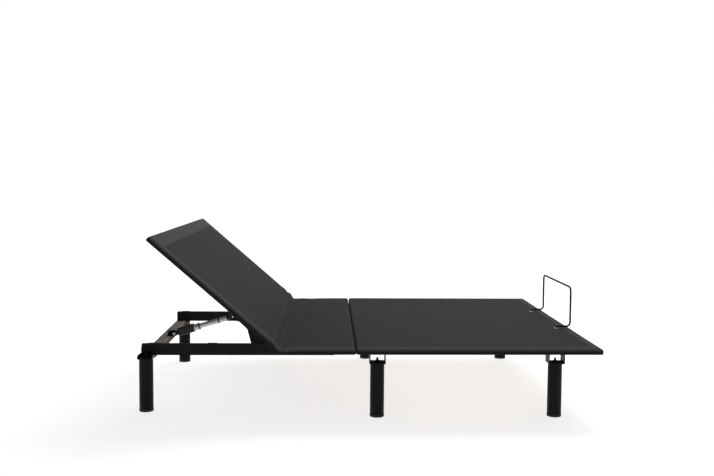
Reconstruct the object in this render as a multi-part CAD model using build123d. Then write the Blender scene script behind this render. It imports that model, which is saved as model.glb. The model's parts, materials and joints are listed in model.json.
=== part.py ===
from build123d import *
import math
import os

# Adjustable bed base. Millimetres, +Z up, +X to the foot, floor at z = 0.
# Lengths along the bed are first given from the fold line, then moved by FOLD_X,
# so that the origin is on the floor under the middle of the whole base.

# Deck
DECK_WIDTH = 1511.0
HEAD_END = -1019.0
FOOT_END = 1017.0
FOLD_GAP = 3.0
DECK_TOP = 318.0
PANEL_T = 24.0
BOARD_T = 15.0
COVER_T = 1.5
LIP = 45.0
EDGE_R = 12.0
DECK_BOTTOM = DECK_TOP - PANEL_T

# Head hinge, with the head panel raised at rest
HINGE_X = -312.3
HINGE_Z = 296.0
REST_ANGLE = 41.0
TOP_ANGLE = 55.0
HEAD_PANEL_END = HINGE_X - 18.7
SEAT_START = HINGE_X + 18.3
HINGE_YS = (-560.0, -200.0, 200.0, 560.0)

# Rails and legs
RAIL_Y = 453.5
RAIL_W = 30.0
RAIL_TOP = 282.0
RAIL_BOTTOM = 234.0
RAIL_HEAD_X = -926.0
RAIL_FOLD_X = -75.0
FOOT_RAIL_X = 70.0
FOOT_RAIL_BOTTOM = 252.0
WALL = 2.0
LEG_R = 30.0
LEG_TOP = 230.0
PLATE_T = 4.0
CAP_H = 10.0
STUD_R = 5.0
STUD_TOP = 252.0
HEAD_LEG = (-897.8, 510.0)
MID_LEG = (94.5, 601.3)
FOOT_LEG = (854.2, 601.3)

# Crossbars
CROSS_X = (-930.0, -886.0)
CROSS_Z = (222.0, 234.0)
HANGER_BAR_X = (-290.0, -262.0)

# Lift linkage, in the middle plane
ARM_PIVOT = (-462.0, 178.0)
REAR_PIN = (-862.6, 246.3)
FRONT_PIN = (-579.3, 329.6)
ARM_RATIO = 0.64
ROLLER_REACH = 90.0
ROLLER_ANGLE = 91.0
ROLLER_R = 12.0
SHAFT_R = 8.0
AXLE_R = 5.0
RUN = 0.05
LEVER_Y = (22.0, 27.0)
CAM_Y = (33.0, 37.0)
NOTCH_ANGLE = 20.0
HANGER_Y = (48.0, 54.0)

# Fold hinge between the two halves
FOLD_Z = 272.0

# Mattress retainer bar
BAR_X = 1010.0
EYELET_X = 948.0
BAR_YS = (-258.0, 258.0)
BAR_TOP = 514.0
BAR_R = 4.5
BAR_RUN_Z = DECK_TOP + 10.0
BAR_TAIL_Z = 288.0
SLEEVE_R = 7.0
COLLAR_R = 13.0

FOLD_X = -(CROSS_X[0] + FOOT_END) / 2
HEAD_TURN = Pos(HINGE_X, 0, HINGE_Z) * Rot(0, REST_ANGLE, 0) * Pos(-HINGE_X, 0, -HINGE_Z)


def block(x0, x1, y0, y1, z0, z1):
    """A plain box between two corners."""
    solid = Solid.make_box(x1 - x0, y1 - y0, z1 - z0)
    return solid.moved(Location((x0, y0, z0)))


def upright(x, y, r, z0, z1):
    """A cylinder standing along Z."""
    return Solid.make_cylinder(r, z1 - z0, Plane(origin=(x, y, z0), z_dir=(0, 0, 1)))


def across(x, z, r, y0, y1):
    """A cylinder lying along Y."""
    return Solid.make_cylinder(r, y1 - y0, Plane(origin=(x, y0, z), z_dir=(0, 1, 0)))


def slab(points, y0, y1):
    """A flat plate: an outline of (x, z) points carried from y0 to y1."""
    wire = Wire.make_polygon([Vector(x, y0, z) for x, z in points], close=True)
    return Solid.extrude(Face(wire), Vector(0, y1 - y0, 0))


def both(make):
    """The same piece on the two sides of the middle plane."""
    solid = make()
    return [solid, solid.mirror(Plane.XZ)]


def tube(x0, x1, y0, y1, z0, z1, along):
    """A rectangular tube with open ends, lying along "x" or "y"."""
    outer = block(x0, x1, y0, y1, z0, z1)
    dx, dy = (0, WALL) if along == "x" else (WALL, 0)
    inner = block(x0 + dx, x1 - dx, y0 + dy, y1 - dy, z0 + WALL, z1 - WALL)
    return outer - inner


def save(name, solids, head=False):
    """Moves the solids into the base's own frame and writes them as one node."""
    solids = solids if isinstance(solids, list) else [solids]
    turn = HEAD_TURN if head else Location()
    placed = [Pos(FOLD_X, 0, 0) * turn * s for s in solids]
    parts = [p for s in placed for p in s.solids()]
    shape = parts[0] if len(parts) == 1 else Compound(children=parts)
    export_step(shape, f"parts/{name}.step")


def rounded(x0, x1, shrink):
    """The padded panel's outer form, or the same form moved in by shrink."""
    half = DECK_WIDTH / 2 - shrink
    body = block(x0 + shrink, x1 - shrink, -half, half, DECK_BOTTOM + min(shrink, 1.0), DECK_TOP - shrink)
    radius = EDGE_R - shrink
    upright_edges = body.edges().filter_by(Axis.Z)
    body = body.fillet(radius, list(upright_edges))
    top_edges = body.edges().group_by(Axis.Z)[-1]
    return body.fillet(radius - 0.5, list(top_edges))


def panel(x0, x1, holes=()):
    """Board, foam and cover of one upholstered panel. The cover wraps the edge and turns under it."""
    outer = rounded(x0, x1, 0.0)
    core = rounded(x0, x1, COVER_T)
    half = DECK_WIDTH / 2
    window = block(x0 + LIP, x1 - LIP, -half + LIP, half - LIP, DECK_BOTTOM - 5, DECK_BOTTOM + 3)
    cover = outer - core - window
    split = DECK_BOTTOM + 1.0 + BOARD_T
    lower = block(x0 - 5, x1 + 5, -half - 5, half + 5, DECK_BOTTOM - 5, split)
    board = core & lower
    foam = core - lower
    for x, y in holes:
        drill = upright(x, y, SLEEVE_R, DECK_BOTTOM - 10, DECK_TOP + 10)
        board, foam, cover = board - drill, foam - drill, cover - drill
    return board, foam, cover


def turned_back(x, z, angle):
    """Where a fixed point of the frame is in the flat head panel's frame, with the panel at that angle."""
    turn = math.radians(angle)
    dx, dz = x - HINGE_X, z - HINGE_Z
    return HINGE_X + dx * math.cos(turn) - dz * math.sin(turn), HINGE_Z + dx * math.sin(turn) + dz * math.cos(turn)


def head_point(angle):
    """Where the roller's centre is in the flat head panel's frame, with the panel at that angle."""
    arm = math.radians(ROLLER_ANGLE - ARM_RATIO * (angle - REST_ANGLE))
    x = ARM_PIVOT[0] + ROLLER_REACH * math.cos(arm)
    z = ARM_PIVOT[1] + ROLLER_REACH * math.sin(arm)
    return turned_back(x, z, angle)


def panels():
    """The three upholstered panels."""
    eyelets = [(EYELET_X, y) for y in BAR_YS]
    spans = {
        "head": (HEAD_END, HEAD_PANEL_END, ()),
        "seat": (SEAT_START, -FOLD_GAP / 2, ()),
        "foot": (FOLD_GAP / 2, FOOT_END, eyelets),
    }
    for name, (x0, x1, holes) in spans.items():
        board, foam, cover = panel(x0, x1, holes)
        save(f"{name}_board", board, name == "head")
        save(f"{name}_foam", foam, name == "head")
        save(f"{name}_cover", cover, name == "head")


SUB_W = 12.5
SUB_Y = 650.0
HEAD_SUB_Z = 285.0
HEAD_BAR_X = -345.0
SEAT_BAR_X = -275.0
FLASHING_X = 6.5
FLASHING_Z = 292.4
FLASHING_Y = 715.0
FLASHING_T = 1.8


def subframes():
    """Flat steel tubes under each board, which carry it on the rails."""
    half = SUB_Y + SUB_W
    head = [tube(x - SUB_W, x + SUB_W, -half, half, HEAD_SUB_Z, DECK_BOTTOM, "y") for x in (-985.0, HEAD_BAR_X)]
    for y in (-SUB_Y, -RAIL_Y, RAIL_Y, SUB_Y):
        head.append(tube(-985.0 + SUB_W, HEAD_BAR_X - SUB_W, y - SUB_W, y + SUB_W, HEAD_SUB_Z, DECK_BOTTOM, "x"))
    for side in (-1, 1):
        inner, outer = sorted((side * CAM_Y[1], side * (CAM_Y[1] + 2 * SUB_W)))
        head.append(tube(-985.0 + SUB_W, HEAD_BAR_X - SUB_W, inner, outer, HEAD_SUB_Z, DECK_BOTTOM, "x"))
    save("head_subframe", head, True)
    seat = [tube(x - SUB_W, x + SUB_W, -half, half, RAIL_TOP, DECK_BOTTOM, "y") for x in (SEAT_BAR_X, -20.0)]
    seat[1] = seat[1] + block(-20.0, FLASHING_X, -FLASHING_Y, FLASHING_Y, FLASHING_Z - FLASHING_T, FLASHING_Z)
    save("seat_subframe", seat)
    foot = [tube(x - SUB_W, x + SUB_W, -half, half, RAIL_TOP, DECK_BOTTOM, "y") for x in (20.0, 500.0, 922.0)]
    save("foot_subframe", foot)


EAR_R = 8.0
EAR_PIN_R = 4.0
EAR_T = 4.0


def head_hinges():
    """Hinge ears on the seat's and the head's subframe, with a pin through each set."""
    seat, head, pins = [], [], []
    face = SEAT_BAR_X - SUB_W
    for y in HINGE_YS:
        for side in (-1, 1):
            y0 = y + side * (EAR_T + 1.0) - EAR_T / 2
            outline = [(face, RAIL_TOP), (face, 293.5), (SEAT_START - 1.5, 293.5), (HINGE_X, HINGE_Z + 7)]
            outline.append((HINGE_X - 4, RAIL_TOP + 6))
            ear = slab(outline, y0, y0 + EAR_T) + across(HINGE_X, HINGE_Z, EAR_R, y0, y0 + EAR_T)
            seat.append(ear - across(HINGE_X, HINGE_Z, EAR_PIN_R + RUN, y0 - 1, y0 + EAR_T + 1))
        tang = [(HEAD_BAR_X + SUB_W, HEAD_SUB_Z), (HEAD_BAR_X + SUB_W, 293.5), (HEAD_PANEL_END + 1.5, 293.5)]
        tang += [(HINGE_X, HINGE_Z + 7), (HINGE_X + 2, HINGE_Z - 6)]
        y0 = y - EAR_T / 2
        ear = slab(tang, y0, y0 + EAR_T) + across(HINGE_X, HINGE_Z, EAR_R, y0, y0 + EAR_T)
        head.append(ear - across(HINGE_X, HINGE_Z, EAR_PIN_R + RUN, y0 - 1, y0 + EAR_T + 1))
        pins.append(across(HINGE_X, HINGE_Z, EAR_PIN_R, y - 9.0, y + 9.0))
    save("seat_hinge_ears", seat)
    save("head_hinge_ears", head, True)
    save("head_hinge_pins", pins)


def rails():
    """The long rails of both halves, with the head rails' lower fold corner cut back."""
    low, high = RAIL_Y - RAIL_W / 2, RAIL_Y + RAIL_W / 2
    corner = [(RAIL_FOLD_X - 14, RAIL_BOTTOM - 1), (RAIL_FOLD_X + 1, RAIL_BOTTOM - 1), (RAIL_FOLD_X + 1, RAIL_BOTTOM + 14)]
    head = tube(RAIL_HEAD_X, RAIL_FOLD_X, low, high, RAIL_BOTTOM, RAIL_TOP, "x") - slab(corner, low - 1, high + 1)
    foot = tube(FOOT_RAIL_X, FOOT_END - 45, low, high, FOOT_RAIL_BOTTOM, RAIL_TOP, "x")
    for name, solid in (("head_rail", head), ("foot_rail", foot)):
        save(f"{name}_far", solid)
        save(f"{name}_near", solid.mirror(Plane.XZ))
    pads = [block(x, x + 40, RAIL_Y - 12, RAIL_Y + 12, RAIL_TOP, RAIL_TOP + 2.5) for x in (-900.0, -640.0)]
    pads += [p.mirror(Plane.XZ) for p in pads]
    save("rail_pads", pads)


def crossbars():
    """The light crossbar at the head end, the hanger bar under the hinge, and the foot half's two."""
    x0, x1 = CROSS_X
    reach = RAIL_Y + RAIL_W / 2
    bar = tube(x0, x1, -reach, reach, *CROSS_Z, "y")
    lip = block(x1, x1 + 18, -reach, reach, CROSS_Z[0], CROSS_Z[0] + 2)
    save("head_crossbar", bar + lip)
    inner = RAIL_Y - RAIL_W / 2
    save("hanger_bar", tube(*HANGER_BAR_X, -inner, inner, 238.0, RAIL_TOP, "y"))
    ends = []
    for x, y in (MID_LEG, FOOT_LEG):
        ends.append(tube(x - 15, x + 15, -inner, inner, 262.0, RAIL_TOP, "y"))
    for x, y in (MID_LEG, FOOT_LEG):
        ends += both(lambda: tube(x - 15, x + 15, reach, y - 33, 262.0, RAIL_TOP, "y"))
    save("foot_crossbars", ends)


def leg(x, y):
    """A round hollow leg, closed at the top."""
    body = upright(x, y, LEG_R, CAP_H, LEG_TOP)
    top = body.edges().group_by(Axis.Z)[-1]
    body = body.fillet(1.5, list(top))
    bore = upright(x, y, LEG_R - WALL, CAP_H - 1, LEG_TOP - 8)
    return body - bore - upright(x, y, STUD_R, LEG_TOP - 20, LEG_TOP + 1)


def stud(x, y):
    """The threaded stud that holds a leg, with its nut on the bracket."""
    shank = upright(x, y, STUD_R, LEG_TOP - 8, STUD_TOP - 3)
    tip = Solid.make_cone(STUD_R, 1.5, 5, Plane(origin=(x, y, STUD_TOP - 3), z_dir=(0, 0, 1)))
    hexagon = Pos(x, y, LEG_TOP + PLATE_T) * extrude(RegularPolygon(9.5, 6), 7)
    return shank + tip + hexagon.solids()[0]


def cap(x, y):
    """The rubber foot under a leg, with a plug up its bore."""
    foot = upright(x, y, LEG_R + 0.6, 0, CAP_H)
    foot = foot.fillet(2.0, list(foot.edges().group_by(Axis.Z)[0]))
    return foot + upright(x, y, LEG_R - WALL - 0.1, CAP_H, CAP_H + 12)


def legs():
    """Six legs with their studs, caps and brackets."""
    spots = {"head_leg": HEAD_LEG, "mid_leg": MID_LEG, "foot_leg": FOOT_LEG}
    for name, (x, y) in spots.items():
        save(f"{name}_near", leg(x, -y))
        save(f"{name}_far", leg(x, y))
    for half, group in (("head", [HEAD_LEG]), ("foot", [MID_LEG, FOOT_LEG])):
        save(f"{half}_leg_studs", [stud(x, s * y) for x, y in group for s in (-1, 1)])
        save(f"{half}_foot_caps", [cap(x, s * y) for x, y in group for s in (-1, 1)])
    x, y = HEAD_LEG
    save("head_leg_brackets", both(lambda: head_bracket(x, y)))
    save("foot_leg_brackets", [s for x, y in (MID_LEG, FOOT_LEG) for s in both(lambda: foot_bracket(x, y))])


def head_bracket(x, y):
    """A tray welded to the rail's outer face, with low flanges beside the leg's top."""
    inner = RAIL_Y + RAIL_W / 2
    plate = block(x - 32, x + 33, inner, y + 33, LEG_TOP, LEG_TOP + PLATE_T)
    for x0 in (x - 32, x + 30):
        plate = plate + block(x0, x0 + 3, inner, y + 33, LEG_TOP, LEG_TOP + 15)
    gusset = block(x - 29, x + 30, inner, inner + 4, LEG_TOP, LEG_TOP + 40)
    return plate + gusset - upright(x, y, STUD_R, LEG_TOP - 1, LEG_TOP + 9)


def foot_bracket(x, y):
    """A U of folded plate under the deck, with its top flanges turned outwards."""
    depth = 33.0
    solid = block(x - 34, x + 34, y - depth, y + depth, LEG_TOP, LEG_TOP + PLATE_T)
    for side in (-1, 1):
        outer, inner = x + side * 34, x + side * 31
        solid = solid + block(min(outer, inner), max(outer, inner), y - depth, y + depth, LEG_TOP, 290.0)
        edge = x + side * 46
        solid = solid + block(min(edge, inner), max(edge, inner), y - depth, y + depth, 290.0, DECK_BOTTOM)
    return solid - upright(x, y, STUD_R, LEG_TOP - 1, LEG_TOP + 9)


def fold_hinges():
    """Leaf hinges on the fold line, under the two subframes."""
    head, foot = [], []
    for y in (-RAIL_Y, RAIL_Y):
        pin = across(0, FOLD_Z, EAR_PIN_R, y - 8.0, y + 16.0)
        head.append(fold_ear(-1, y - 16.0, y - 8.0) + across(0, FOLD_Z, EAR_PIN_R + RUN, y - 16.0, y - 8.0) + pin)
        head.append(fold_ear(-1, y + 8.0, y + 16.0) - pin)
        foot.append(fold_ear(1, y - 7.0, y + 7.0))
    save("fold_hinge_head_leaves", head)
    save("fold_hinge_foot_leaves", foot)


def fold_ear(side, y0, y1):
    """One leaf: a strip under the subframe, with its knuckle hanging at the fold line."""
    near, far = side * 6.0, side * 62.0
    strip = block(min(near, far), max(near, far), y0, y1, RAIL_TOP - 4, RAIL_TOP)
    neck = block(min(0, side * 14.0), max(0, side * 14.0), y0, y1, FOLD_Z, RAIL_TOP - 4)
    knuckle = across(0, FOLD_Z, 7.0, y0, y1)
    return strip + neck + knuckle - across(0, FOLD_Z, EAR_PIN_R + RUN, y0 - 1, y1 + 1)


def hangers():
    """Two plates that carry the lift arm's shaft below the rails."""
    px, pz = ARM_PIVOT
    outline = [(-262, RAIL_TOP - 2), (-262, 236), (-300, 196), (-380, 158), (px, pz - 20)]
    outline += [(px, pz + 20), (-404, 196), (-340, 226), (-290, RAIL_TOP - 2)]
    made = []
    for side in (-1, 1):
        y0, y1 = sorted((side * HANGER_Y[0], side * HANGER_Y[1]))
        plate = slab(outline, y0, y1) + across(px, pz, 20.0, y0, y1)
        plate = plate - block(HANGER_BAR_X[0], HANGER_BAR_X[1] + 1, y0 - 1, y1 + 1, 238.0, RAIL_TOP)
        made.append(plate - across(px, pz, SHAFT_R, y0 - 1, y1 + 1))
    save("lift_hangers", made)
    save("lift_shaft", across(px, pz, SHAFT_R, -58.0, 58.0))


def lift_arm():
    """The lever plates on their hub, and the axle with its rollers."""
    px, pz = ARM_PIVOT
    fx, fz = FRONT_PIN
    arm = math.radians(ROLLER_ANGLE)
    rx, rz = px + ROLLER_REACH * math.cos(arm), pz + ROLLER_REACH * math.sin(arm)
    outline = [(px - 25, pz), (-489, 199), (-508, 271), (-547, 308), (fx - 2, fz - 15), (fx + 4, fz + 14.5)]
    outline += [(-500, 316), (rx + 8, rz + 14), (px + 24, rz), (px + 25, pz)]
    plates, wheels = [], []
    for side in (-1, 1):
        y0, y1 = sorted((side * LEVER_Y[0], side * LEVER_Y[1]))
        plate = slab(outline, y0, y1) + across(px, pz, 25.0, y0, y1) + across(fx, fz, 15.0, y0, y1)
        for x, z, r in ((px, pz, 13.0), (fx, fz, AXLE_R + 1), (rx, rz, AXLE_R)):
            plate = plate - across(x, z, r, y0 - 1, y1 + 1)
        plates.append(plate)
        y0, y1 = sorted((side * (CAM_Y[0] - 3), side * (CAM_Y[1] + 3)))
        wheels.append(across(rx, rz, ROLLER_R, y0, y1) - across(rx, rz, AXLE_R + RUN, y0 - 1, y1 + 1))
    save("lift_levers", plates)
    save("lift_rollers", wheels)
    hub = across(px, pz, 13.0, -30.0, 30.0) - across(px, pz, SHAFT_R + RUN, -31.0, 31.0)
    save("lift_hub", hub)
    save("roller_axle", across(rx, rz, AXLE_R, -42.0, 42.0))


def cam_plates():
    """Curved slots under the head panel, which follow the rollers' path as it rises."""
    steps = 12
    path = [head_point(TOP_ANGLE * i / steps) for i in range(steps + 1)]
    made = []
    for side in (-1, 1):
        y0, y1 = sorted((side * CAM_Y[0], side * CAM_Y[1]))
        plate, slot = None, None
        for (xa, za), (xb, zb) in zip(path, path[1:]):
            wide = capsule(xa, za, xb, zb, ROLLER_R + 14.0, y0, y1)
            thin = capsule(xa, za, xb, zb, ROLLER_R + 0.8, y0 - 1, y1 + 1)
            plate = wide if plate is None else plate + wide
            slot = thin if slot is None else slot + thin
        for i in range(steps):
            nx, nz = turned_back(*ARM_PIVOT, NOTCH_ANGLE * i / steps)
            slot = slot + across(nx, nz, SHAFT_R + 1.5, y0 - 1, y1 + 1)
        web = slab([(-545, 293.5), (-525, 262), (path[-1][0] - 20, path[-1][1] + 24), (-372, 293.5)], y0, y1)
        trim = block(-700, -200, y0 - 1, y1 + 1, 293.5, 400)
        made.append(plate + web - slot - trim)
    save("cam_plates", made, True)


def capsule(xa, za, xb, zb, r, y0, y1):
    """A plate with round ends between two (x, z) points."""
    length = math.hypot(xb - xa, zb - za)
    nx, nz = -(zb - za) / length * r, (xb - xa) / length * r
    corners = [(xa + nx, za + nz), (xb + nx, zb + nz), (xb - nx, zb - nz), (xa - nx, za - nz)]
    return slab(corners, y0, y1) + across(xa, za, r, y0, y1) + across(xb, zb, r, y0, y1)


def on_stroke(solid):
    """Places a solid drawn along +X from the origin on the line of the actuator."""
    rise = math.degrees(math.atan2(FRONT_PIN[1] - REAR_PIN[1], FRONT_PIN[0] - REAR_PIN[0]))
    return Pos(REAR_PIN[0], 0, REAR_PIN[1]) * Rot(0, -rise, 0) * solid


def along(r, x0, x1):
    """A cylinder lying along X."""
    return Solid.make_cylinder(r, x1 - x0, Plane(origin=(x0, 0, 0), z_dir=(1, 0, 0)))


STROKE_LINE = math.hypot(FRONT_PIN[0] - REAR_PIN[0], FRONT_PIN[1] - REAR_PIN[1])
ROD_R = 12.5
HOUSING = (20.0, 98.0)
COLLAR_END = 122.0
ROD_TAIL = 95.6
RING_AT = 220.0


def actuator():
    """The linear actuator: housing and collar on the rear pin, and the rod that slides in them."""
    lug = (block(0, HOUSING[0], -9, 9, -11, 11) + across(0, 0, 11.0, -9, 9)) - across(0, 0, AXLE_R + RUN, -10, 10)
    h0, h1 = HOUSING
    case = block(h0, h1, -22, 22, -18, 20)
    case = case.fillet(6.0, list(case.edges().filter_by(Axis.X)))
    bore = along(ROD_R + RUN, h0 + 4, h1 + 1)
    save("gear_housing", on_stroke(case - bore + lug))
    motor = across(h0 + 30, 1.0, 17.0, 22, 96)
    motor = motor.fillet(3.0, list(motor.edges().group_by(Axis.Y)[-1]))
    save("motor_can", on_stroke(motor))
    collar = along(ROD_R + 3.5, h1, COLLAR_END) - along(ROD_R + RUN, h1 - 1, COLLAR_END + 1)
    save("actuator_collar", on_stroke(collar))
    ring = along(ROD_R + 5, COLLAR_END, COLLAR_END + 5) - along(ROD_R + RUN, COLLAR_END - 1, COLLAR_END + 6)
    save("collar_ring", on_stroke(ring))
    end = STROKE_LINE - 32.0
    save("actuator_rod", on_stroke(along(ROD_R, ROD_TAIL, end)))
    sleeve = along(ROD_R + 1.5, RING_AT, RING_AT + 6) - along(ROD_R, RING_AT - 1, RING_AT + 7)
    save("rod_ring", on_stroke(sleeve))
    save("rod_end", on_stroke(along(ROD_R + 0.5, end, STROKE_LINE - 12)))
    fork = block(STROKE_LINE - 12, STROKE_LINE + 9, -15, 15, -11, 11)
    fork = fork.fillet(4.0, list(fork.edges().filter_by(Axis.Y).group_by(Axis.X)[-1]))
    slot = block(STROKE_LINE - 4, STROKE_LINE + 12, -8, 8, -12, 12)
    eye = across(STROKE_LINE, 0, AXLE_R, -16, 16)
    save("rod_clevis", on_stroke(fork - slot - eye))
    save("rod_pin", on_stroke(across(STROKE_LINE, 0, AXLE_R, -20.0, 20.0)))


def actuator_mount():
    """The rear clevis, standing on the edge of the head crossbar."""
    ax, az = REAR_PIN
    top = CROSS_Z[1]
    outline = [(CROSS_X[1] - 8, top), (CROSS_X[1] - 8, top + 24), (ax, az + 13), (ax + 12, az + 4)]
    outline += [(ax + 12, az - 8), (ax, top - 1), (CROSS_X[1], top)]
    solid = block(CROSS_X[1] - 12, CROSS_X[1] - 1, -20, 20, top, top + 4)
    for y0 in (-17.0, 12.0):
        solid = solid + slab(outline, y0, y0 + 5)
    save("actuator_bracket", solid - across(ax, az, AXLE_R, -30, 30))
    pin = across(ax, az, AXLE_R, -20.0, 20.0)
    save("rear_pin", pin + across(ax, az, 7.5, -23.0, -17.0))


def electrics():
    """The control box under the seat, with the sockets its leads plug into."""
    body = block(-235.0, -95.0, -200.0, -80.0, 246.0, RAIL_TOP)
    body = body.fillet(6.0, list(body.edges().filter_by(Axis.Z)))
    wells = [block(-101.0, -94.0, y, y + 18, 256.0, 270.0) for y in (-180.0, -150.0, -118.0)]
    for well in wells:
        body = body - well
    save("control_box", body)
    rims = [block(-97.0, -92.0, y - 3, y + 21, 253.0, 273.0) for y in (-180.0, -150.0, -118.0)]
    holes = [block(-98.0, -91.0, y, y + 18, 256.0, 270.0) for y in (-180.0, -150.0, -118.0)]
    save("socket_rims", [(r - h) - block(-98.0, -95.0, -200, -80, 250, 280) for r, h in zip(rims, holes)])
    straps = [block(x, x + 20, -216.0, -64.0, RAIL_TOP, RAIL_TOP + 3) for x in (-215.0, -135.0)]
    save("box_straps", straps)


def retainer():
    """The mattress retainer bar and the two eyelets its tails drop into."""
    corners = []
    for y in BAR_YS:
        corners.append([(EYELET_X, y, BAR_TAIL_Z), (EYELET_X, y, BAR_RUN_Z), (BAR_X, y, BAR_RUN_Z), (BAR_X, y, BAR_TOP - BAR_R)])
    points = corners[0] + corners[1][::-1]
    path = FilletPolyline(*points, radius=[7, 18, 24, 24, 18, 7])
    start = Plane(origin=points[0], z_dir=(0, 0, 1))
    save("retainer_bar", sweep(start * Circle(BAR_R), path=path).solids()[0])
    made = []
    for y in BAR_YS:
        collar = upright(EYELET_X, y, COLLAR_R, DECK_TOP, DECK_TOP + 2.4)
        collar = collar.fillet(1.2, list(collar.edges().group_by(Axis.Z)[-1]))
        sleeve = upright(EYELET_X, y, SLEEVE_R - RUN, DECK_BOTTOM + 2, DECK_TOP + 1)
        made.append(collar + sleeve - upright(EYELET_X, y, BAR_R + RUN, 200, 400))
    save("retainer_eyelets", made)


os.makedirs("parts", exist_ok=True)
panels()
subframes()
head_hinges()
rails()
crossbars()
legs()
fold_hinges()
hangers()
lift_arm()
cam_plates()
actuator()
actuator_mount()
electrics()
retainer()
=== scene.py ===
# %% [markdown]
# # Adjustable bed base
# The steel, the motor and the joints come from the imported model and are never moved.
# This script adds what Blender is good at: the sewn covers, the finishes, the light and the camera.
# We load the imported model first.

# %% Load the frame
import json
import math

import bmesh
import bpy
import numpy as np
from mathutils import Matrix, Vector


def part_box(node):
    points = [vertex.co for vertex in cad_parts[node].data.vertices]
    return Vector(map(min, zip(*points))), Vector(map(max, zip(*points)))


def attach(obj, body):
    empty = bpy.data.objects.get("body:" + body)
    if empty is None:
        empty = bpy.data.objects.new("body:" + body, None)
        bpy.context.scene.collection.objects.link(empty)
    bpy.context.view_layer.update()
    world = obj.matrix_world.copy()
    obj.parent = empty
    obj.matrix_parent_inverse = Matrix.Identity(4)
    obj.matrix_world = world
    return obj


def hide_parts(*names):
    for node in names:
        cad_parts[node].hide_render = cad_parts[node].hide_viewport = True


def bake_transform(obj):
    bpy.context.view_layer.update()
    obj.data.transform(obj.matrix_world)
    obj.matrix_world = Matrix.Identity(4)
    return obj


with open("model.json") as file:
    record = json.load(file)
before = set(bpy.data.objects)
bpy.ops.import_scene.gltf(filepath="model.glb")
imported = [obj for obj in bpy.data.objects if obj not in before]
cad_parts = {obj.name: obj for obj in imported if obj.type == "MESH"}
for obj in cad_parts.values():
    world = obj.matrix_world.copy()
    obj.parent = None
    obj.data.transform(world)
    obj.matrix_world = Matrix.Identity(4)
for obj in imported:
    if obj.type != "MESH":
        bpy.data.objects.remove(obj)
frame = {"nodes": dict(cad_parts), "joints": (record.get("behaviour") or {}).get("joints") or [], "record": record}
nodes = frame["nodes"]
joints = {j["name"]: j for j in frame["joints"]}
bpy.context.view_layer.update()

# %% [markdown]
# The camera stands at the near side of the bed, a little over a metre up, and looks almost square
# across it. It is built from three angles and a place measured from the fold line, so that the
# same numbers still hold if the frame's origin moves.

# %% Camera
fold = joints["frame_fold"]["pos_m"]
near_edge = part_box("foot_cover")[0].y
YAW, PITCH, ROLL = (math.radians(a) for a in (1.84, 4.064, 0.402))
CAMERA_PLACE = (fold[0] - 0.114, near_edge - 3.542, 1.022)
FOCAL_WIDTHS = 1.2377


def camera_axes(yaw, pitch, roll):
    """Right, up and forward of a camera turned by yaw, tipped down by pitch, then rolled."""
    ahead = np.array([math.sin(yaw) * math.cos(pitch), math.cos(yaw) * math.cos(pitch), -math.sin(pitch)])
    right = np.array([math.cos(yaw), -math.sin(yaw), 0.0])
    up = np.cross(right, ahead)
    return (
        right * math.cos(roll) + up * math.sin(roll),
        up * math.cos(roll) - right * math.sin(roll),
        ahead,
    )


camera = bpy.data.objects.new("camera", bpy.data.cameras.new("camera"))
bpy.context.scene.collection.objects.link(camera)
right, up, ahead = camera_axes(YAW, PITCH, ROLL)
columns = [(*axis, 0) for axis in (right, up, -ahead)]
camera.matrix_world = Matrix([*columns, (*CAMERA_PLACE, 1)]).transposed()
camera.data.sensor_width = 36.0
camera.data.lens = FOCAL_WIDTHS * camera.data.sensor_width
camera.data.clip_end = 60.0
bpy.context.scene.camera = camera
print("camera lens", round(camera.data.lens, 1), "mm")

# %% [markdown]
# Finishes are small sums of noise and waves. A socket that knows how to add, multiply and compare
# lets us write them as plain expressions, and each expression adds its own Math nodes.

# %% Shader sums


class Level:
    """A number or colour that varies over a surface: a node's output that takes part in sums."""

    def __init__(self, owner, socket):
        self.owner = owner
        self.socket = socket

    def sum(self, operation, *others):
        terms = dict(enumerate((self, *others)))
        return self.owner.node("ShaderNodeMath", {"operation": operation}, terms)

    def __add__(self, other):
        return self.sum("ADD", other)

    __radd__ = __add__

    def __mul__(self, other):
        return self.sum("MULTIPLY", other)

    __rmul__ = __mul__

    def __sub__(self, other):
        return self.sum("SUBTRACT", other)

    def __rsub__(self, other):
        return (self * -1.0) + other

    def sine(self):
        return self.sum("SINE")

    def least(self, other):
        return self.sum("MINIMUM", other)

    def step(self, low, high):
        """0 below low, 1 above high, and a smooth rise between."""
        limits = {"Value": self, "From Min": low, "From Max": high}
        settings = {"interpolation_type": "SMOOTHSTEP"}
        return self.owner.node("ShaderNodeMapRange", settings, limits, out="Result")


class Shading:
    """A node tree under construction, and the shader in it that its levels feed."""

    def __init__(self, tree, shader):
        self.tree = tree
        self.shader = tree.nodes[shader]

    def node(self, kind, settings=(), inputs=(), out=0):
        """Adds a node, sets its options, then fills or links its sockets."""
        node = self.tree.nodes.new(kind)
        for name, value in dict(settings).items():
            setattr(node, name, value)
        for name, value in dict(inputs).items():
            if isinstance(value, Level):
                self.tree.links.new(value.socket, node.inputs[name])
            else:
                node.inputs[name].default_value = value
        return Level(self, node.outputs[out])

    def feed(self, socket, value):
        self.tree.links.new(value.socket, self.shader.inputs[socket])


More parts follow.
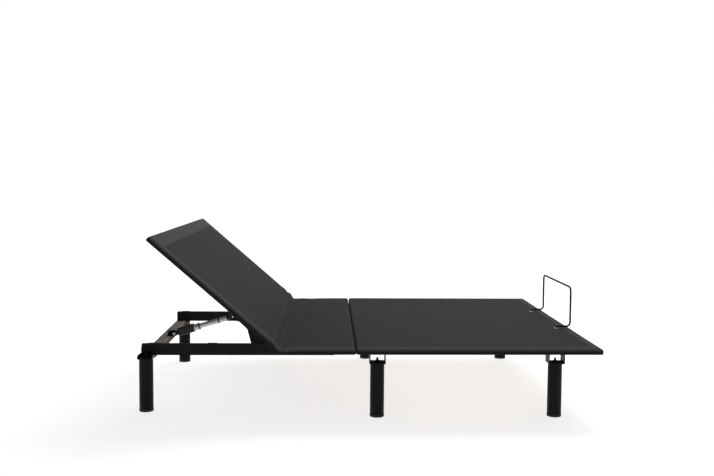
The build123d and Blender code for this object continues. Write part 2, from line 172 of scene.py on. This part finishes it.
class Finish(Shading):
    """One material under construction, with its Principled shader."""

    def __init__(self, name, **settings):
        self.material = bpy.data.materials.new(name)
        self.material.use_nodes = True
        super().__init__(self.material.node_tree, "Principled BSDF")
        for socket, value in settings.items():
            self.shader.inputs[socket.replace("_", " ")].default_value = value

    def place(self):
        return self.node("ShaderNodeTexCoord", out="Object")

    def noise(self, scale, detail=3.0, stretch=(1, 1, 1), source=None):
        """Noise on the object's own coordinates, or on source, finer along the axes with more stretch."""
        at = self.node("ShaderNodeMapping", inputs={"Vector": source or self.place(), "Scale": stretch})
        return self.node("ShaderNodeTexNoise", inputs={"Vector": at, "Scale": scale, "Detail": detail})

    def between(self, amount, dark, light):
        """A colour that goes from dark to light with the amount."""
        ends = [c if isinstance(c, Level) else (*c, 1.0) for c in (dark, light)]
        factor, colour_a, colour_b, colour_out = 0, 6, 7, 2
        inputs = {factor: amount, colour_a: ends[0], colour_b: ends[1]}
        return self.node("ShaderNodeMix", {"data_type": "RGBA"}, inputs, out=colour_out)

    def bump(self, height, strength, distance):
        self.feed("Normal", self.node(
            "ShaderNodeBump", inputs={"Height": height, "Strength": strength, "Distance": distance}))


print("shader sums ready")

# %% [markdown]
# The steel is powder coated. Baked powder isn't smooth: it has a fine orange-peel skin, it is a
# little uneven in gloss, and low down on a leg it picks up pale scuffs. All three come from noise
# on the object's own coordinates, so nothing slides when a part moves.

# %% Coated metal
SCUFF_FADE = (0.01, 0.07)
PEEL_SCALE = 650.0


def coated(name, dark, light, rough, scuffs=0.0):
    """Powder coat: colour drifts between dark and light, with orange peel and optional floor scuffs."""
    finish = Finish(name, Specular_IOR_Level=0.11)
    drift = finish.noise(7.0, 4.0)
    colour = finish.between(drift.step(0.3, 0.75), dark, light)
    grime = finish.noise(60.0, 5.0, stretch=(1, 1, 0.25)).step(0.6, 0.75)
    if scuffs:
        height = finish.node("ShaderNodeSeparateXYZ", inputs={"Vector": finish.place()}, out="Z")
        low = 1 - height.step(*SCUFF_FADE)
        scuffed = tuple(c * 5 + 0.03 for c in light)
        colour = finish.between(grime * low * scuffs, colour, scuffed)
    finish.feed("Base Color", colour)
    finish.feed("Roughness", drift * 0.16 + grime * 0.08 + rough)
    finish.bump(finish.noise(PEEL_SCALE, 2.0), 0.25, 0.0004)
    return finish.material


black_coat = coated("black_coat", (0.0035, 0.0035, 0.0038), (0.0065, 0.0065, 0.007), 0.36)
leg_coat = coated("leg_coat", (0.0035, 0.0035, 0.0038), (0.0065, 0.0065, 0.007), 0.38, scuffs=0.5)
# Painted reflection: the crossbar is black semi-gloss coat, and this light grey stands in for the bright surround
# reflected on it.
grey_coat = coated("grey_coat", (0.56, 0.56, 0.57), (0.67, 0.67, 0.68), 0.36)
print("coats:", black_coat.name, leg_coat.name, grey_coat.name)

# %% [markdown]
# Bare metal shows how it was made. Zinc plate is a patchwork of faint crystals, and the actuator's
# grey tube was drawn, so its scratches run along its length.

# %% Bare metal, plastic and rubber


def drawn_metal(name, colour, rough, stretch):
    """Metal with fine scratches along one axis, which change its roughness more than its colour."""
    finish = Finish(name, Metallic=1.0)
    scratch = finish.noise(420.0, 3.0, stretch=stretch)
    patches = finish.node("ShaderNodeTexVoronoi", inputs={"Vector": finish.place(), "Scale": 260.0})
    worn = tuple(c * 0.78 for c in colour)
    finish.feed("Base Color", finish.between(patches.step(0.1, 0.9), worn, colour))
    finish.feed("Roughness", scratch * 0.24 + rough)
    finish.bump(scratch, 0.2, 0.0002)
    return finish.material


def moulded(name, dark, light, rough, grain, depth):
    """Moulded plastic or rubber: a spark-eroded grain with a slightly uneven colour."""
    finish = Finish(name, Specular_IOR_Level=0.4)
    spots = finish.noise(grain, 3.0)
    finish.feed("Base Color", finish.between(finish.noise(9.0).step(0.3, 0.7), dark, light))
    finish.feed("Roughness", spots * 0.2 + rough)
    finish.bump(spots, 0.4, depth)
    return finish.material


zinc = drawn_metal("zinc_plate", (0.72, 0.72, 0.74), 0.2, (1, 1, 1))
bright_zinc = drawn_metal("bright_zinc", (0.93, 0.93, 0.95), 0.12, (1, 1, 1))
black_zinc = drawn_metal("black_zinc", (0.03, 0.03, 0.032), 0.4, (1, 1, 1))
tube_grey = drawn_metal("tube_grey", (0.62, 0.62, 0.63), 0.34, (0.06, 1, 1))
plastic = moulded("black_plastic", (0.008, 0.008, 0.0085), (0.013, 0.013, 0.014), 0.4, 1300.0, 0.0004)
rubber = moulded("black_rubber", (0.012, 0.012, 0.012), (0.02, 0.02, 0.02), 0.62, 700.0, 0.0006)
print("made", zinc.name, tube_grey.name, plastic.name, rubber.name)

# %% [markdown]
# The boards under the padding are raw fibreboard, seen only from below. Short flecks in two sizes
# make the pressed fibres.

# %% Fibreboard
board = Finish("fibreboard", Roughness=0.8)
flecks = board.noise(240.0, 6.0, stretch=(1, 0.35, 1))
board.feed("Base Color", board.between(
    (flecks * 0.7 + board.noise(18.0) * 0.3).step(0.3, 0.7), (0.16, 0.105, 0.06), (0.33, 0.235, 0.15)))
board.bump(flecks, 0.3, 0.0004)
print("fibreboard ready")

# %% [markdown]
# The deck is dressed in two cloths. The middle is a dark non-slip weave, and a lighter, smoother
# tape borders it and wraps the edge. Over the rounded edge and down the wall the tape is given a
# much darker colour, a painted shade for the shade that falls on the sides. Both follow the cloth's own
# cut, so the weave is drawn on a UV map measured in metres: one turn of the sine is one pair of
# threads. How far down the edge a point lies comes from an attribute that the mesh carries, and it
# sets where the painted shade falls.

# %% Deck cloth
THREAD = 0.0021
STITCH = 0.0045
SEAM_WIDTH = 0.0022
SIDE_BORDER = 0.043
CENTRE_DARK, CENTRE_LIGHT = (0.0265, 0.0265, 0.0295), (0.045, 0.045, 0.0495)
TAPE_DARK, TAPE_LIGHT = (0.057, 0.0575, 0.064), (0.086, 0.087, 0.097)
# The tape's colours over the rounded edge and on the wall: painted shade, far darker than the tape on top.
WALL_SHADE_DARK, WALL_SHADE_LIGHT = (0.009, 0.009, 0.010), (0.016, 0.016, 0.0175)


def deck_cloth(name, low, high):
    """Woven centre inside the rectangle low..high of the UV map, with the border tape outside it."""
    finish = Finish(name, Sheen_Weight=0.04, Sheen_Roughness=0.5, Specular_IOR_Level=0.08)
    uv = finish.node("ShaderNodeUVMap", {"uv_map": "cut"})
    u = finish.node("ShaderNodeSeparateXYZ", inputs={"Vector": uv}, out="X")
    v = finish.node("ShaderNodeSeparateXYZ", inputs={"Vector": uv}, out="Y")
    inside = (u - low[0]).least(high[0] - u).least(v - low[1]).least(high[1] - v)
    centre = inside.step(-0.0004, 0.0004)
    seam = 1 - inside.sum("ABSOLUTE").step(0.0, SEAM_WIDTH)
    warp = (u * (2 * math.pi / THREAD)).sine()
    weft = (v * (2 * math.pi / THREAD)).sine()
    slubs = finish.noise(90.0, 3.0, stretch=(1, 14, 1), source=uv)
    streaks = finish.noise(90.0, 3.0, stretch=(14, 1, 1), source=uv)
    weave = warp * weft * 0.5 + 0.5
    dots = finish.node("ShaderNodeTexVoronoi", inputs={"Vector": uv, "Scale": 320.0})
    heather = (slubs * 0.5 + streaks * 0.5).step(0.35, 0.65)
    dark = finish.between(heather * 0.7 + weave * 0.3, CENTRE_DARK, CENTRE_LIGHT)
    tape = finish.between(heather * 0.8 + weave * 0.2, TAPE_DARK, TAPE_LIGHT)
    # Painted shade: over the rounded edge and down the wall the tape turns to the darker shade colours.
    wall = finish.node("ShaderNodeAttribute", {"attribute_name": "wall"}, out="Fac").step(0.35, 1.0)
    tape = finish.between(wall, tape, finish.between(heather, WALL_SHADE_DARK, WALL_SHADE_LIGHT))
    cloth = finish.between(centre, tape, dark)
    stitch = (u + v).sum("MULTIPLY", 2 * math.pi / STITCH).sine().step(0.0, 0.3)
    cloth = finish.between(seam * 0.65, cloth, (0.012, 0.012, 0.013))
    cloth = finish.between(seam * stitch * 0.3, cloth, (0.11, 0.11, 0.115))
    finish.feed("Base Color", cloth)
    finish.feed("Roughness", weave * 0.08 + 0.78 - dots.step(0.0, 0.5) * 0.06)
    finish.bump(weave * 0.6 + dots * centre * 0.4 - seam * 1.2, 0.55, 0.0009)
    return finish.material


print("cloth: thread pair", THREAD * 1000, "mm")

# %% [markdown]
# A panel's cover is a tray of cloth: a flat top, a rounded edge, a wall and a lip that turns under
# the board. The top is a regular grid. The skirt is a profile carried round the rectangle, with a
# fan at each corner. Everything is worked out flat, and bent at the hinge afterwards.

# %% Cover sheet
EDGE = 0.012
TUCK = 0.003
SPACING = 0.009
FAN = 6


def spread(start, end, step):
    """Evenly spaced numbers from start to end, about step apart."""
    return np.linspace(start, end, max(2, round(abs(end - start) / step) + 1))


def skirt_profile(drop, lip):
    """Outward distance, fall and cloth length along a quarter round, a wall and a lip turned in."""
    a = np.linspace(0, math.pi / 2, 7)
    out = EDGE * np.sin(a)
    fall = EDGE * (1 - np.cos(a))
    wall = spread(EDGE, drop - TUCK, 0.005)[1:]
    tuck = np.linspace(0, math.pi / 2, 4)[1:]
    back = spread(TUCK, lip, 0.01)[1:]
    out = np.concatenate([out, np.full(len(wall), EDGE), EDGE - TUCK * (1 - np.cos(tuck)), EDGE - back])
    fall = np.concatenate([fall, wall, drop - TUCK + TUCK * np.sin(tuck), np.full(len(back), drop)])
    steps = np.hypot(np.diff(out), np.diff(fall))
    return out, fall, np.concatenate([[0], np.cumsum(steps)])


def rim_loop(xs, ys):
    """Points round the grid's rim with their outward directions, and more in a fan at each corner."""
    sides = [
        (np.stack([xs, np.full(len(xs), ys[0])], 1), -90),
        (np.stack([np.full(len(ys), xs[-1]), ys], 1), 0),
        (np.stack([xs[::-1], np.full(len(xs), ys[-1])], 1), 90),
        (np.stack([np.full(len(ys), xs[0]), ys[::-1]], 1), 180),
    ]
    points, angles = [], []
    for place, facing in sides:
        fan = np.linspace(facing, facing + 90, FAN + 2)[1:-1]
        points += [place, np.repeat(place[-1:], len(fan), 0)]
        angles += [np.full(len(place), facing), fan]
    angle = np.radians(np.concatenate(angles))
    return np.concatenate(points), np.stack([np.cos(angle), np.sin(angle)], 1)


def cover_sheet(low, high, lip, relief):
    """Points, faces, cut-cloth coordinates and share of the way down the rounded edge, for one cover.

    Low and high are the cover's corners, lip is how far it turns under, and relief(x, y) lifts its top.
    """
    xs = spread(low[0] + EDGE, high[0] - EDGE, SPACING)
    ys = spread(low[1] + EDGE, high[1] - EDGE, SPACING)
    x, y = np.meshgrid(xs, ys, indexing="ij")
    top = np.stack([x, y, high[2] + relief(x, y)], 2).reshape(-1, 3)
    index = np.arange(x.size).reshape(x.shape)
    quads = [np.stack([index[:-1, :-1], index[1:, :-1], index[1:, 1:], index[:-1, 1:]], 2).reshape(-1, 4)]
    cuts = [np.stack([x, y], 2).reshape(-1, 2)]
    rim, outward = rim_loop(xs, ys)
    out, fall, run = skirt_profile(high[2] - low[2], lip)
    place = rim[:, None, :] + outward[:, None, :] * out[None, :, None]
    lift = relief(rim[:, 0], rim[:, 1])[:, None] * np.maximum(0, 1 - fall / (high[2] - low[2]))[None, :]
    skirt = np.concatenate([place, (high[2] - fall[None, :] + lift)[:, :, None]], 2)
    cut = rim[:, None, :] + outward[:, None, :] * run[None, :, None]
    ring = np.arange(skirt.shape[0] * skirt.shape[1]).reshape(skirt.shape[:2]) + x.size
    after = np.roll(ring, -1, 0)
    quads.append(np.stack([ring[:, :-1], ring[:, 1:], after[:, 1:], after[:, :-1]], 2).reshape(-1, 4))
    cuts.append(cut.reshape(-1, 2))
    down = np.concatenate([np.zeros(x.size), np.tile(np.clip(fall / EDGE, 0, 1), len(rim))])
    return np.concatenate([top, skirt.reshape(-1, 3)]), np.concatenate(quads), np.concatenate(cuts), down


CLOTH_THICKNESS = 0.0014


def sheet_object(name, points, faces, cuts, down, material):
    """A smooth mesh object with its cloth coordinates in the UV map cut, merged and given a thickness."""
    mesh = bpy.data.meshes.new(name)
    mesh.from_pydata(points, [], faces.tolist())
    layer = mesh.uv_layers.new(name="cut")
    layer.data.foreach_set("uv", cuts[faces.ravel()].astype(np.float32).ravel())
    # How far down the edge each point lies, stored as wall, sets where the cloth's painted shade falls.
    mesh.attributes.new("wall", "FLOAT", "POINT").data.foreach_set("value", down.astype(np.float32))
    work = bmesh.new()
    work.from_mesh(mesh)
    bmesh.ops.remove_doubles(work, verts=work.verts, dist=0.00001)
    bmesh.ops.recalc_face_normals(work, faces=work.faces)
    work.to_mesh(mesh)
    work.free()
    mesh.polygons.foreach_set("use_smooth", np.ones(len(mesh.polygons), bool))
    mesh.materials.append(material)
    made = bpy.data.objects.new(name, mesh)
    bpy.context.scene.collection.objects.link(made)
    wall = made.modifiers.new("cloth", "SOLIDIFY")
    wall.thickness = CLOTH_THICKNESS
    wall.offset = -1.0
    cut_size = np.ptp(cuts, axis=0)
    print(name, len(mesh.vertices), "points, cut from", np.round(cut_size, 3), "m of cloth")
    return made


print("cloth", CLOTH_THICKNESS * 1000, "mm thick, on a grid of about", SPACING * 1000, "mm")

# %% [markdown]
# The head and seat share one unbroken cloth, which crosses the hinge. Laid flat, it would be
# smooth. With the head raised it has cloth to spare there, so it sinks off the end of the board
# and gathers in soft folds beside the crease, and faint pulls run out over the seat.
#
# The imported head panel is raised, so its length when flat has to be worked back from its mesh.

# %% Measures of the head and seat
hinge = np.array(joints["head_incline"]["pos_m"])
RAISED = math.radians(-joints["head_incline"]["range_deg"][0])
seat_low, seat_high = (np.array(c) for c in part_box("seat_cover"))
foot_low, foot_high = (np.array(c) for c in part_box("foot_cover"))
LIP = 0.045
HEAD_BORDER, FOOT_BORDER = 0.07, 0.04


def flat_head_end():
    """Where the head panel ends when it lies flat: its farthest point, turned back about the hinge."""
    mesh = nodes["head_cover"].data
    points = np.empty(len(mesh.vertices) * 3)
    mesh.vertices.foreach_get("co", points)
    rel = points.reshape(-1, 3) - hinge
    return hinge[0] + (rel[:, 0] * math.cos(RAISED) - rel[:, 2] * math.sin(RAISED)).min()


head_end = flat_head_end()
print("the flat head panel ends at x =", round(head_end, 4))

# %% [markdown]
# The folds are added up from bells, which are smooth, have a clear height and width, and leave the
# rest of the cloth alone. A fold that ran dead straight would look pressed, so each follows a slow
# wander across the bed.

# %% Folds beside the crease


def swell(value, centre, width):
    """A bell of height 1 about centre."""
    return np.exp(-(((value - centre) / width) ** 2))


# Each ridge or dip beside the crease: its height, its distance from the hinge, its width, and how
# much of the slow wander it follows.
CREASE_BELLS = (
    (-0.0055, -0.018, 0.014, 0.0),
    (-0.0016, 0.024, 0.012, 0.0),
    (0.0030, -0.046, 0.012, 1.0),
    (0.0022, -0.086, 0.013, -1.0),
    (-0.0028, -0.066, 0.010, 0.5),
)
PULL_HEIGHT = 0.0030
QUILT_HEIGHT = 0.0006
SLACK = 0.0008


def seat_relief(x, y):
    """The bells beside the crease, plus pulls along X that fade over the seat, plus a slow unevenness.

    A pull is a sine across the bed whose phase drifts, under a bell that starts at the hinge.
    """
    from_hinge = x - hinge[0]
    wander = 0.007 * np.sin(3.1 * y + 0.6) + 0.004 * np.sin(8.7 * y)
    lift = -SLACK
    for height, distance, width, share in CREASE_BELLS:
        lift = lift + height * swell(from_hinge, distance + share * wander, width)
    pull = np.sin(62 * y + 4 * np.sin(2.3 * y) + 5 * x) * (0.55 + 0.45 * np.sin(7.3 * y + 1.1))
    reach = swell(from_hinge, 0.065 + 0.03 * np.sin(11 * y), 0.055) * (from_hinge > 0)
    quilt = QUILT_HEIGHT * np.sin(9 * x + 2 * np.sin(4 * y)) * np.sin(7 * y + 1.7)
    return lift + PULL_HEIGHT * pull * reach + quilt


print("folds beside the crease:", len(CREASE_BELLS))

# %% [markdown]
# Bending the finished flat cloth keeps its weave and its border in place. Points behind the hinge
# turn by the whole angle, points in front not at all, and those between by a smooth share of it.

# %% Bend at the hinge
BEND_AHEAD = 0.020
BEND_LENGTH = 0.042


def raise_head(points):
    """Turns flat points about the hinge, by an angle that grows smoothly over BEND_LENGTH.

    It ends BEND_AHEAD on the seat's side of the hinge, and the head's side turns by the whole angle.
    """
    share = np.clip((BEND_AHEAD - (points[:, 0] - hinge[0])) / BEND_LENGTH, 0, 1)
    angle = RAISED * share * share * (3 - 2 * share)
    rel = points - hinge
    turned = rel.copy()
    turned[:, 0] = rel[:, 0] * np.cos(angle) + rel[:, 2] * np.sin(angle)
    turned[:, 2] = rel[:, 2] * np.cos(angle) - rel[:, 0] * np.sin(angle)
    return turned + hinge


print("the head is raised by", round(math.degrees(RAISED), 1), "degrees")

# %% [markdown]
# Now the cover itself. It stands in for the plain covers and foam of both panels.

# %% Head and seat cover
NO_BORDER = 1.0
low = (head_end, seat_low[1], seat_low[2])
high = (seat_high[0], seat_high[1], seat_high[2])
points, faces, cuts, down = cover_sheet(low, high, LIP, seat_relief)
cloth = deck_cloth(
    "head_seat_cloth",
    (low[0] + HEAD_BORDER, low[1] + SIDE_BORDER),
    (high[0] + NO_BORDER, high[1] - SIDE_BORDER),
)
head_seat = sheet_object("head_seat_cover", raise_head(points), faces, cuts, down, cloth)
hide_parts("head_cover", "seat_cover", "head_foam", "seat_foam")
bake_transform(head_seat)

# %% [markdown]
# The foot panel has a cover of its own, cut and wrapped the same way. It never bends, so it simply
# rides on the foot frame. The two eyelets of the retainer bar clamp the cloth, and we let the cloth
# dip round them.

# %% Foot cover
FOOT_SLACK = 0.0004
DIMPLE_DEPTH, DIMPLE_WIDTH = 0.0012, 0.022


def foot_relief(x, y):
    """A soft crown with slow unevenness, dimpled where the two eyelets clamp the cloth."""
    quilt = FOOT_SLACK * np.sin(6 * x + 2 * np.sin(5 * y)) * np.sin(8 * y + 0.4)
    dimple = np.zeros_like(x)
    low_eye, high_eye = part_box("retainer_eyelets")
    eye_r = (high_eye.x - low_eye.x) / 2
    for eye in (low_eye.y + eye_r, high_eye.y - eye_r):
        apart = np.hypot(x - (low_eye.x + eye_r), y - eye)
        dimple = dimple - DIMPLE_DEPTH * swell(apart, 0.0, DIMPLE_WIDTH)
    return quilt + dimple - FOOT_SLACK


points, faces, cuts, down = cover_sheet(foot_low, foot_high, LIP, foot_relief)
cloth = deck_cloth(
    "foot_cloth",
    (foot_low[0] - NO_BORDER, foot_low[1] + SIDE_BORDER),
    (foot_high[0] - FOOT_BORDER, foot_high[1] - SIDE_BORDER),
)
foot = sheet_object("foot_cover_cloth", points, faces, cuts, down, cloth)
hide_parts("foot_cover", "foot_foam")
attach(foot, "foot_frame")
print("foot cover rides on foot_frame")

# %% [markdown]
# Every steel, plastic and rubber node keeps its shape from the model and only takes a finish. The
# record says which slot each node belongs to. Legs, leg studs and eyelets differ from the rest of
# their slot, so they are named.

# %% Finishes on the frame
BY_SLOT = {
    "black_steel": black_coat,
    # The crossbar takes the painted reflection coat: light grey standing in for the surround reflected on black
    # coat.
    "crossbar_steel": grey_coat,
    "board_wood": board.material,
    "black_plastic": plastic,
    "rubber": rubber,
    "rod_grey": tube_grey,
    "zinc_steel": zinc,
}
BY_NAME = {
    "leg_near": leg_coat,
    "leg_far": leg_coat,
    "leg_studs": black_zinc,
    "retainer_eyelets": bright_zinc,
}
slots = {s["node"]: s["material_slot"] for s in frame["record"]["subparts"]}
for name, node in nodes.items():
    finish = next((f for ending, f in BY_NAME.items() if name.endswith(ending)), BY_SLOT.get(slots[name]))
    if finish is None:
        continue
    node.data.materials.clear()
    node.data.materials.append(finish)
print("finished", len(nodes), "nodes")

# %% [markdown]
# The studio is a light table: pale paper that glows a little by itself, so that shadows stay soft
# and pale, in front of a white surround. What the camera sees of the surround is full white, while
# the light it sheds is weaker, or black steel would turn grey. Most of the light falls from a wide
# lamp overhead, which is why the tops of the panels read lighter than their edges; the darker
# colour painted on the cloth's rounded edges and walls adds painted shade there too.

# %% Studio
SURROUND_LIGHT = 0.16
PAPER_GLOW = 0.74
GLOW_RISE = (1.8, 4.5)
FLOOR_HALF = 30.0
FLOOR_Z = -0.0006
WHITE = (1.0, 1.0, 1.0, 1.0)

scene = bpy.context.scene
scene.view_settings.view_transform = "Standard"
world = bpy.data.worlds.new("surround")
world.use_nodes = True
surround = Shading(world.node_tree, "Background")
seen = surround.node("ShaderNodeLightPath", out="Is Camera Ray")
ends = {"Value": seen, "To Min": SURROUND_LIGHT, "To Max": 1.0}
surround.feed("Strength", surround.node("ShaderNodeMapRange", inputs=ends, out="Result"))
surround.shader.inputs["Color"].default_value = WHITE
scene.world = world

paper = Finish("paper", Roughness=0.9, Specular_IOR_Level=0.1, Emission_Strength=1.0)
paper.shader.inputs["Base Color"].default_value = (0.9, 0.9, 0.9, 1.0)
from_middle = {0: paper.place()}
distance = paper.node("ShaderNodeVectorMath", {"operation": "LENGTH"}, from_middle, out="Value")
paper.feed("Emission Color", paper.between(distance.step(*GLOW_RISE), (PAPER_GLOW,) * 3, WHITE[:3]))
floor_mesh = bpy.data.meshes.new("floor")
signs = ((-1, -1), (1, -1), (1, 1), (-1, 1))
corners = [(x * FLOOR_HALF, y * FLOOR_HALF, FLOOR_Z) for x, y in signs]
floor_mesh.from_pydata(corners, [], [(0, 1, 2, 3)])
floor_mesh.materials.append(paper.material)
floor = bpy.data.objects.new("floor", floor_mesh)
scene.collection.objects.link(floor)
print("paper floor", 2 * FLOOR_HALF, "m wide")

# %% [markdown]
# Two square lamps light the bed. The strong one hangs over the far side, so the panels' tops are
# lit at a slant that shows the folds. The weak one keeps the near legs from going fully black.

# %% Lamps


def softbox(name, place, aim, size, watts):
    """A square area light at place, turned to aim."""
    light = bpy.data.lights.new(name, "AREA")
    light.size = size
    light.energy = watts
    lamp = bpy.data.objects.new(name, light)
    scene.collection.objects.link(lamp)
    lamp.location = place
    lamp.rotation_mode = "QUATERNION"
    lamp.rotation_quaternion = (Vector(aim) - Vector(place)).to_track_quat("-Z", "Y")


softbox("overhead", (0.9, 1.5, 3.0), (0, 0.1, 0.3), 2.8, 82)
softbox("camera_side", (-1.5, -4.0, 2.4), (0, 0, 0.3), 2.0, 3)
print("studio lit")
